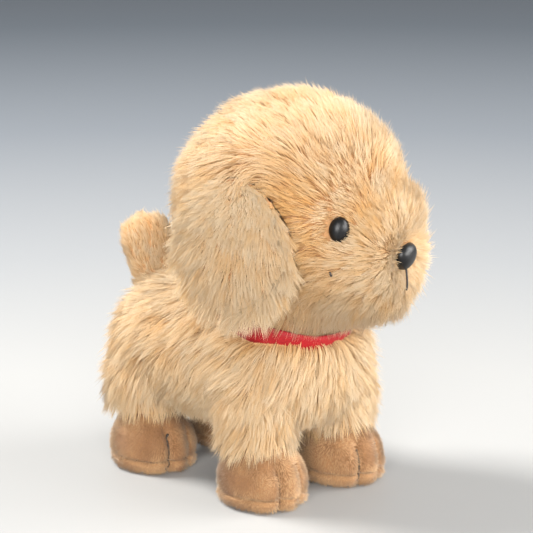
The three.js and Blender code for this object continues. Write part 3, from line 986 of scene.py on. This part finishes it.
# %% The legs' and tail's pile
LEG_PILE = 13.0 * MM
LEG_PILE_TOP = 50 * MM
LEG_BARE_BELOW = {"front": 27 * MM, "hind": 31 * MM}
TAIL_PILE = 6.5 * MM
for number, name in enumerate(LEG_NAMES):
    low = LEG_BARE_BELOW[name.split("_")[0]]
    grow(f"leg_pile_{name}", leg_skins[name], f"leg_{name}", 4500, comb_down,
         lambda p: np.full(len(p), LEG_PILE), rise=(44, 26), seed=41 + number,
         where=lambda p, n, low=low: (p[:, 2] < LEG_PILE_TOP) * (p[:, 2] > low))
tail_axis = np.array(tail_frame.to_3x3()) @ np.array([0, 0, 1.0])
grow("tail_pile", tail_skin, "tail", 5500, lambda p: np.tile(tail_axis, (len(p), 1)),
     lambda p: np.full(len(p), TAIL_PILE), rise=(36, 18), turn=35, seed=51)

# %% [markdown]
# ## Paws
# Each paw is a cup of short velour on a paler sole. Two threads pull its front into three toes, so
# the same bend is put into the upper, the sole and the threads.

# %% Velour
def velour_finish(name, light, dark):
    finish = Finish(name, Roughness=0.85, Sheen_Weight=0.5, Sheen_Roughness=0.5,
                    Sheen_Tint=(1.0, 0.9, 0.75, 1), Specular_IOR_Level=0.2)
    brushed = finish.noise(95, 2) * 0.7 + finish.noise(1400, 2) * 0.3
    finish.colour(brushed + finish.read("tone") * 0.12, (0.38, dark), (0.62, light))
    finish.drive("Normal", finish.bump(finish.noise(2200, 2), 0.3 * MM, 0.6))
    return finish


velour = velour_finish("paw_velour", (146, 106, 69), (106, 72, 43))
sole_velour = velour_finish("sole_velour", (156, 118, 80), (124, 90, 57))

# %% The paws' shape
SEAM = 6.2  # the height in mm at which upper and sole meet
UPPER_PROFILE = [(0, SEAM), (9, SEAM), (15.4, SEAM), (16.9, 7.3), (17.2, 10), (16.8, 13.5), (15.3, 18.5),
                 (12.8, 23.5), (9.5, 27), (0, 27.6)]
SOLE_PROFILE = [(0, 0), (8, 0), (13.2, 0.15), (15.6, 1.2), (17.0, 3.6), (16.9, 5.3), (15.6, SEAM - 0.25),
                (8, SEAM - 0.2), (0, SEAM - 0.2)]
PAW_STRETCH = 1.14  # how long a paw is beside its width
TOE_LINE = 5.6  # from a paw's middle to each thread, in mm


def toes(points):
    """Pulls the front of a paw in along two lines, and lets the three toes swell between them."""
    x, y, z = points.T
    front = smooth_step(-y, 3, 13) * (1 - smooth_step(z, 17, 24))
    outward = unit(points - np.array([0, 2.0, 9.0]))
    pull = sum(np.exp(-((x - line) / 1.25) ** 2) for line in (-TOE_LINE, TOE_LINE))
    swelling = sum(np.exp(-((x - middle_x) / 3.0) ** 2) for middle_x in (-11.0, 0.0, 11.0))
    shaped = points + outward * (front * (0.9 * swelling - 2.3 * pull))[:, None]
    shaped[:, 2] = np.maximum(shaped[:, 2], 0)
    return shaped


def paw_place(name):
    low, high = (Vector(c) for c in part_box(f"paw_upper_{name}"))
    return np.array([(low.x + high.x) / 2, (low.y + high.y) / 2, 0])


paw_skins = {}
for name in LEG_NAMES:
    for part, profile, finish, slot in (("upper", UPPER_PROFILE, velour, "velour"),
                                        ("sole", SOLE_PROFILE, sole_velour, "sole_velour")):
        bm = spun(smooth_profile(profile, 44), 96, (1.0, PAW_STRETCH))
        reshape(bm, lambda points: toes(points / MM) * MM + paw_place(name))
        made = as_piece(bm, f"paw_{part}_cover_{name}", finish.material)
        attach(made, f"leg_{name}")
        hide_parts(f"paw_{part}_{name}")
        paw_skins[name, part] = made
print("paws:", len(paw_skins))

# %% The paws' nap
nap_finish = Finish("velour_nap", Roughness=0.8, Sheen_Weight=0.3, Sheen_Tint=(1.0, 0.9, 0.75, 1))
nap_colour = nap_finish.ramp(nap_finish.read("along"), [(0.0, rgb(112, 77, 47)), (1.0, rgb(200, 160, 114))])
nap_colour = nap_finish.blend(nap_finish.read("tone"), nap_colour, (*rgb(126, 88, 55), 1))
nap_finish.drive("Base Color", nap_colour)


def clear_of_threads(points, place):
    """0 along the two toe threads of the paw at a place, and 1 elsewhere."""
    beside = np.abs(np.abs(points[:, 0] - place[0]) - TOE_LINE * MM) > 0.75 * MM
    return beside | (points[:, 1] > place[1]) | (points[:, 2] > 19 * MM)


def nap_on(name, paw, part, count, seed, paler=0.0):
    """Covers a paw's upper or sole in short bristles that lean down and forward in patches."""
    rng = np.random.default_rng(seed)
    skin, body, place = paw_skins[paw, part], f"leg_{paw}", paw_place(paw)
    root, normal = roots_on(
        skin, count, lambda p, n: (p[:, 2] > 0.4 * MM) * (n[:, 2] > -0.85) * clear_of_threads(p, place), rng)
    inward = np.abs(root[:, 2] - SEAM * MM) < 0.35 * MM
    lean = np.tile([0.0, -0.4, -0.9], (count, 1)) + 1.1 * np.stack(
        [patchy(root, 7 * MM, rng) for _ in range(3)], axis=1) + rng.normal(0, 0.35, (count, 3))
    length = np.where(inward, 0.5, rng.uniform(1.4, 2.6, count)) * MM
    tip = root + unit(normal * 0.9 + 0.75 * unit(lean)) * length[:, None]
    tip[:, 2] = np.maximum(tip[:, 2], 0.05 * MM)
    tone = np.clip(0.45 - paler + 0.55 * patchy(root, 8 * MM, rng) + 0.12 * rng.normal(0, 1, count), 0, 1)
    line = np.stack([root - 0.2 * MM * normal, tip], axis=1)
    fibres(name, line, rng.uniform(0.14, 0.22, count) * MM, body, tone, normal, BRISTLE, nap_finish)


for number, name in enumerate(LEG_NAMES):
    nap_on(f"paw_upper_nap_{name}", name, "upper", 9500, 61 + number)
    nap_on(f"paw_sole_nap_{name}", name, "sole", 4500, 71 + number, 0.2)

# %% [markdown]
# ## Threads, ribbon and buttons
# Small parts are swept tubes or turned forms with enough sides to look round.

# %% A tube along points
def tube(points, radius, name, finish, body):
    curve = bpy.data.curves.new(name, "CURVE")
    curve.dimensions = "3D"
    curve.bevel_depth = radius
    curve.bevel_resolution = 1  # eight sides
    curve.use_fill_caps = True
    spline = curve.splines.new("POLY")
    spline.points.add(len(points) - 1)
    for point, place in zip(spline.points, points):
        point.co = (*place, 1)
    source = bpy.data.objects.new(name, curve)
    bpy.context.scene.collection.objects.link(source)
    graph = bpy.context.evaluated_depsgraph_get()
    graph.update()
    bm = bmesh.new()
    bm.from_mesh(source.evaluated_get(graph).to_mesh())
    bpy.data.objects.remove(source)
    bmesh.ops.remove_doubles(bm, verts=bm.verts, dist=1e-7)
    made = as_piece(bm, name, finish.material)
    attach(made, body)
    return made


dark_thread = Finish("dark_thread", Roughness=0.6)
dark_thread.colour(dark_thread.noise(3000, 2), (0.4, (22, 18, 16)), (0.65, (52, 42, 36)))
brown_thread = Finish("brown_thread", Roughness=0.7)
brown_thread.colour(brown_thread.noise(3000, 2), (0.4, (92, 62, 38)), (0.65, (128, 90, 58)))

# %% Toe threads
THREAD_HEIGHTS = np.linspace(18.0, 0.6, 36)
THREAD_LIFT = 0.7
FINE_THREAD, THICK_THREAD = 0.26 * MM, 0.42 * MM
FINE_THREAD_LEGS = ("front_right", "hind_left")
KNOT_RADIUS = 0.95 * MM
KNOT_SHIFT = Vector((0.6, -0.4, 0.5)) * MM
profile_r, profile_z = np.array(smooth_profile(UPPER_PROFILE[2:], 80)).T / MM
sole_r, sole_z = np.array(smooth_profile(SOLE_PROFILE[:7], 60)).T / MM


def toe_line(name, x):
    height = THREAD_HEIGHTS
    upper = np.interp(height, profile_z[1:-1], profile_r[1:-1])
    sole = np.interp(height, sole_z[1:-1], sole_r[1:-1])
    reach = np.where(height > SEAM, upper, sole)
    depth = np.sqrt(np.maximum(reach ** 2 - x ** 2, 1)) * PAW_STRETCH
    points = toes(np.stack([np.full_like(height, x), -depth, height], axis=1))
    points[:, 1] -= THREAD_LIFT
    return points * MM + paw_place(name)


for name in LEG_NAMES:
    outside = 1 if name.endswith("left") else -1
    for where_on_paw, x in (("outer", TOE_LINE * outside), ("inner", -TOE_LINE * outside)):
        fine = name in FINE_THREAD_LEGS
        path = toe_line(name, x)
        made = tube([tuple(p) for p in path], FINE_THREAD if fine else THICK_THREAD,
                    f"toe_stitch_{name}_{where_on_paw}",
                    brown_thread if fine else dark_thread, f"leg_{name}")
        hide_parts(f"toe_thread_{name}_{where_on_paw}")
        if not fine and where_on_paw == "outer":
            bm = bmesh.new()
            bmesh.ops.create_icosphere(bm, subdivisions=2, radius=KNOT_RADIUS,
                                       matrix=Matrix.Translation(Vector(path[0]) + KNOT_SHIFT))
            knot = as_piece(bm, f"toe_knot_{name}", dark_thread.material)
            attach(knot, f"leg_{name}")

# %% The ribbon
ribbon_finish = Finish("red_ribbon", Roughness=0.6, Sheen_Weight=0.08, Sheen_Tint=(1.0, 0.5, 0.5, 1),
                       Specular_IOR_Level=0.3)
ribs = ribbon_finish.noise(900, 1, (1, 1, 6))
ribbon_finish.colour(ribs, (0.35, (122, 4, 11)), (0.65, (150, 8, 18)))
ribbon_finish.drive("Normal", ribbon_finish.bump(ribs, 0.2 * MM, 0.5))
neck_frame = Matrix.Translation(neck) @ neck_axis.to_track_quat("Z", "Y").to_matrix().to_4x4()
RIBBON_RADIUS, RIBBON_THICKNESS = 31.2, 0.9
RIBBON_LOW, RIBBON_HIGH = -10.4, -0.6  # along the neck's axis, from the neck
RIBBON_SHIFT = np.array([0, -2.0, 0]) * MM  # it lies over the pile's backing, further forward
RIBBON_RIM = ((0, 0), (1, 0), (1.15, 0.25), (1.2, 0.5), (1.15, 0.75), (1, 1), (0, 1), (0.1, 0.5))
rim = [(RIBBON_RADIUS + out * RIBBON_THICKNESS, RIBBON_LOW + up * (RIBBON_HIGH - RIBBON_LOW))
       for out, up in RIBBON_RIM]
bm = spun([(r * MM, z * MM) for r, z in rim], 120, ring=True)


def rumple(points):
    """Gives the band the slight waves of a ribbon that is only held at its seam."""
    angle = np.arctan2(points[:, 1], points[:, 0])
    waves = 0.35 * np.sin(3 * angle + 0.6) + 0.25 * np.sin(7 * angle + 2.0)
    out = unit(points * np.array([1, 1, 0]))
    moved = points + out * (waves * MM)[:, None]
    moved[:, 2] += 0.5 * MM * np.sin(2 * angle + 1.1)
    return placed(moved, neck_frame) + RIBBON_SHIFT


reshape(bm, rumple)
ribbon = as_piece(bm, "collar_band", ribbon_finish.material)
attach(ribbon, "torso")
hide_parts("collar_ribbon")

# %% Eyes and nose
plastic = Finish("black_plastic", Specular_IOR_Level=0.32)
mottle = plastic.noise(700, 3)
plastic.colour(mottle, (0.3, (5, 5, 6)), (0.7, (13, 12, 13)))
plastic.drive("Roughness", 0.3 + 0.12 * mottle)
SHANK_RADIUS, SHANK_LENGTH = 1.8, 9.0
RIM_HEIGHT = 0.7


def face_frame(aim, lift):
    """A frame on the head's skin along an aim, raised by lift in mm, with z outwards."""
    z = Vector(aim)
    x = Vector((0, 0, 1)).cross(z).normalized()
    frame_here = Matrix((x, z.cross(x), z)).transposed().to_4x4()
    seat = z * (head_radius(aim[None])[0] + lift * MM)
    return head_frame @ Matrix.Translation(seat) @ frame_here


def button(name, half_width, half_height, dome, aim, lift, taper, replaced):
    """An oval dome on a shank. Taper makes its upper end wider than its lower end."""
    steps = np.linspace(0, math.pi / 2, 14)
    curve = [(math.cos(t) ** 0.9, RIM_HEIGHT + dome * math.sin(t)) for t in steps[:-1]]
    profile = [(0, -SHANK_LENGTH), (SHANK_RADIUS, -SHANK_LENGTH), (SHANK_RADIUS, 0),
               (half_width * 0.93, 0), (half_width * 0.99, 0.3)]
    profile += [(half_width * r, z) for r, z in curve] + [(0, RIM_HEIGHT + dome)]
    bm = spun([(r * MM, z * MM) for r, z in profile], 48, (1, half_height / half_width))

    def shaped(points):
        points = points.copy()
        points[:, 0] *= 1 + taper * points[:, 1] / (half_height * MM)
        return placed(points, face_frame(aim, lift))

    reshape(bm, shaped)
    made = as_piece(bm, name, plastic.material)
    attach(made, "head")
    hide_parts(replaced)


for (name, side), aim in zip(SIDES.items(), eye_aims):
    button(f"eye_button_{name}", 4.7, 5.4, 3.8, aim, 2.0, 0.0, f"eye_{name}")
button("nose_button", 6.9, 6.1, 4.4, MUZZLE_AIM, 2.9, 0.24, "nose")


# %% Stitches on the face
def on_face(points, lift):
    """Puts (left, ahead, up) places in the head's frame on its skin, raised by lift in mm."""
    aims = unit(np.array(points, float) * np.array([1, -1, 1]))
    return placed(aims * (head_radius(aims) + lift * MM)[:, None], head_frame)


MOUTH_LINE = [(0, 56, height) for height in np.linspace(-22, -31, 8)]
CHEEK_LINE = [(-26, 28, -13.6), (-26, 28.4, -14.6), (-26, 28.8, -15.2)]
mouth = tube([tuple(p) for p in on_face(MOUTH_LINE, 4.2)], 0.45 * MM,
             "mouth_thread", dark_thread, "head")
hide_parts("mouth_stitch")
tube([tuple(p) for p in on_face(CHEEK_LINE, 6.5)], 0.5 * MM,
     "cheek_thread", dark_thread, "head")

# %% [markdown]
# ## What is inside
# The filling, the pellets, the washers behind the face and the closing stitches stay as the
# engineering model has them, because nobody sees them until the toy is opened. Each still gets the
# finish of its real stuff: crimped white fibre, cloudy plastic beads, moulded nylon and spun thread.

# %% Finishes of the inside
filling = Finish("fibre_filling", Roughness=0.95, Sheen_Weight=0.3)
curls = filling.noise(260, 5) * 0.6 + filling.noise(1600, 2, (1, 1, 3)) * 0.4
filling.colour(curls, (0.32, (214, 211, 204)), (0.62, (246, 245, 241)))
filling.drive("Normal", filling.bump(curls, 1.2 * MM))

beads = Finish("pellet_beads", Roughness=0.4)
bead_gap = beads.add("ShaderNodeTexVoronoi", {}, {"Vector": beads.place(), "Scale": 380.0}, "Distance")
# Painted shade: the beads' colour darkens toward the gaps between them.
beads.colour(bead_gap, (0.25, (232, 230, 222)), (0.75, (172, 169, 160)))
beads.drive("Normal", beads.bump(1 - bead_gap, 1.0 * MM))

nylon = Finish("washer_nylon", Roughness=0.45)
nylon.colour(nylon.noise(320, 3), (0.35, (222, 220, 212)), (0.65, (238, 237, 231)))
nylon.drive("Roughness", 0.36 + 0.2 * nylon.noise(900, 2))

spun_thread = Finish("closing_stitches", Roughness=0.7)
twist = spun_thread.noise(2600, 2, (1, 0.3, 1))
spun_thread.colour(twist, (0.4, (214, 186, 140)), (0.6, (238, 216, 174)))
spun_thread.drive("Normal", spun_thread.bump(twist, 0.2 * MM))

INSIDE = {"stuffing": filling, "pellets": beads, "washer": nylon, "closing_thread": spun_thread}
for node_name, node in frame["nodes"].items():
    for word, finish in INSIDE.items():
        if word in node_name:
            for slot in node.material_slots:
                slot.material = finish.material
            print(node_name, "is", finish.material.name)
